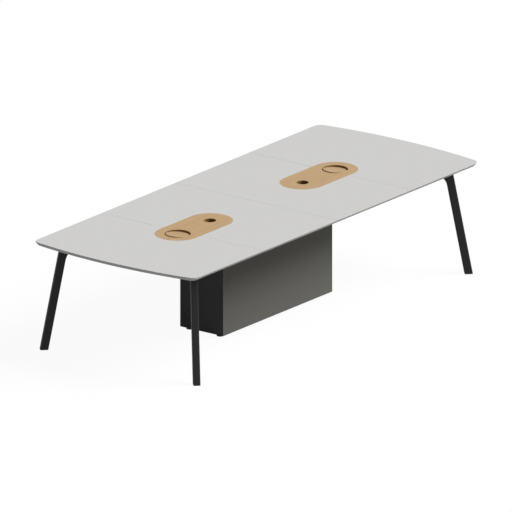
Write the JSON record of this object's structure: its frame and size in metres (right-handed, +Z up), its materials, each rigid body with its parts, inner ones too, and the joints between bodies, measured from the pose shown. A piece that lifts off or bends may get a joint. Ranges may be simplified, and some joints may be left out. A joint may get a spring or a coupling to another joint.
{
  "type": "conference table",
  "caption": "Long conference table with bowed ends, flush wooden power inlays with tilting round lids and cable holes, splayed legs and a central cable cabinet with doors",
  "frame": {"origin": "on the floor, under the middle of the table", "axes": "+X along the table's length, +Y towards the cabinet doors, +Z up"},
  "size_m": [3.2, 1.31, 0.754],
  "materials": {
    "top_laminate": "pale grey satin laminate on board",
    "inlay_wood": "light oak veneer, satin, grain along the inlay",
    "lid_wood": "light oak veneer, satin",
    "dowel_wood": "plain beech",
    "plain_steel": "zinc-plated",
    "brass_insert": "machined",
    "pale_nylon": "natural nylon",
    "soft_rubber": "soft black rubber",
    "black_steel": "fine matt black powder coat",
    "black_casting": "black powder coat on cast aluminium",
    "glide_plastic": "black polyethylene",
    "foot_plastic": "black plastic pad on a plated stud",
    "black_plastic": "fine spark texture",
    "grey_plastic": "satin grey",
    "black_board": "matt black laminate on board",
    "grey_board": "matt graphite grey laminate on board"
  },
  "bodies": {
    "table": {"cabinet_divider": "black_board", "cabinet_end_left": "black_board", "cabinet_end_right": "black_board", "cabinet_floor": "black_board", "cabinet_front": "grey_board", "cabinet_rail_front": "black_board", "cabinet_rail_rear": "black_board", "corner_castings": "black_casting", "door_magnets": "black_plastic", "door_pins": "plain_steel", "end_rail_left": "black_steel", "end_rail_right": "black_steel", "floor_grommets": "black_plastic", "foot_inserts": "brass_insert", "frame_bolts": "plain_steel", "inlay_board_left": "inlay_wood", "inlay_board_right": "inlay_wood", "inlay_plate_left": "plain_steel", "inlay_plate_right": "plain_steel", "leg_front_left": "black_steel", "leg_front_right": "black_steel", "leg_glide_front_left": "glide_plastic", "leg_glide_front_right": "glide_plastic", "leg_glide_rear_left": "glide_plastic", "leg_glide_rear_right": "glide_plastic", "leg_plates": "black_steel", "leg_rear_left": "black_steel", "leg_rear_right": "black_steel", "lid_bumpers": "soft_rubber", "lid_bushes": "pale_nylon", "long_rail_front": "black_steel", "long_rail_rear": "black_steel", "power_inlet_left": "black_plastic", "power_inlet_right": "black_plastic", "power_module_left": "black_plastic", "power_module_right": "black_plastic", "power_well_left": "black_steel", "power_well_right": "black_steel", "seam_dowels": "dowel_wood", "seam_plates": "plain_steel", "socket_plate_left": "grey_plastic", "socket_plate_right": "grey_plastic", "top_board_end_left": "top_laminate", "top_board_end_right": "top_laminate", "top_board_mid_left": "top_laminate", "top_board_mid_right": "top_laminate", "wood_screws": "plain_steel"},
    "lid_left": {"lid_left": "lid_wood", "lid_pins_left": "plain_steel"},
    "lid_right": {"lid_right": "lid_wood", "lid_pins_right": "plain_steel"},
    "door_left": {"door_left": "grey_board", "door_strike_left": "plain_steel"},
    "door_right": {"door_right": "grey_board", "door_strike_right": "plain_steel"},
    "foot_front_left": {"levelling_foot_front_left": "foot_plastic"},
    "foot_front_right": {"levelling_foot_front_right": "foot_plastic"},
    "foot_rear_left": {"levelling_foot_rear_left": "foot_plastic"},
    "foot_rear_right": {"levelling_foot_rear_right": "foot_plastic"}
  },
  "joints": [
    {"name": "lid_left_tilt", "type": "hinge", "parent": "table", "child": "lid_left", "pos_m": [-0.85, 0, 0.738], "axis": [0, 1, 0], "range_deg": [-6, 60]},
    {"name": "lid_right_tilt", "type": "hinge", "parent": "table", "child": "lid_right", "pos_m": [0.85, 0, 0.738], "axis": [0, 1, 0], "range_deg": [-6, 60]},
    {"name": "door_left_swing", "type": "hinge", "parent": "table", "child": "door_left", "pos_m": [-0.5615, 0.166, 0.3615], "axis": [0, 0, 1], "range_deg": [0, 95]},
    {"name": "door_right_swing", "type": "hinge", "parent": "table", "child": "door_right", "pos_m": [0.5615, 0.166, 0.3615], "axis": [0, 0, -1], "range_deg": [0, 95]},
    {"name": "foot_front_left_level", "type": "slide", "parent": "table", "child": "foot_front_left", "axis": [0, 0, -1], "range_m": [0, 0.012]},
    {"name": "foot_front_right_level", "type": "slide", "parent": "table", "child": "foot_front_right", "axis": [0, 0, -1], "range_m": [0, 0.012]},
    {"name": "foot_rear_left_level", "type": "slide", "parent": "table", "child": "foot_rear_left", "axis": [0, 0, -1], "range_m": [0, 0.012]},
    {"name": "foot_rear_right_level", "type": "slide", "parent": "table", "child": "foot_rear_right", "axis": [0, 0, -1], "range_m": [0, 0.012]}
  ]
}
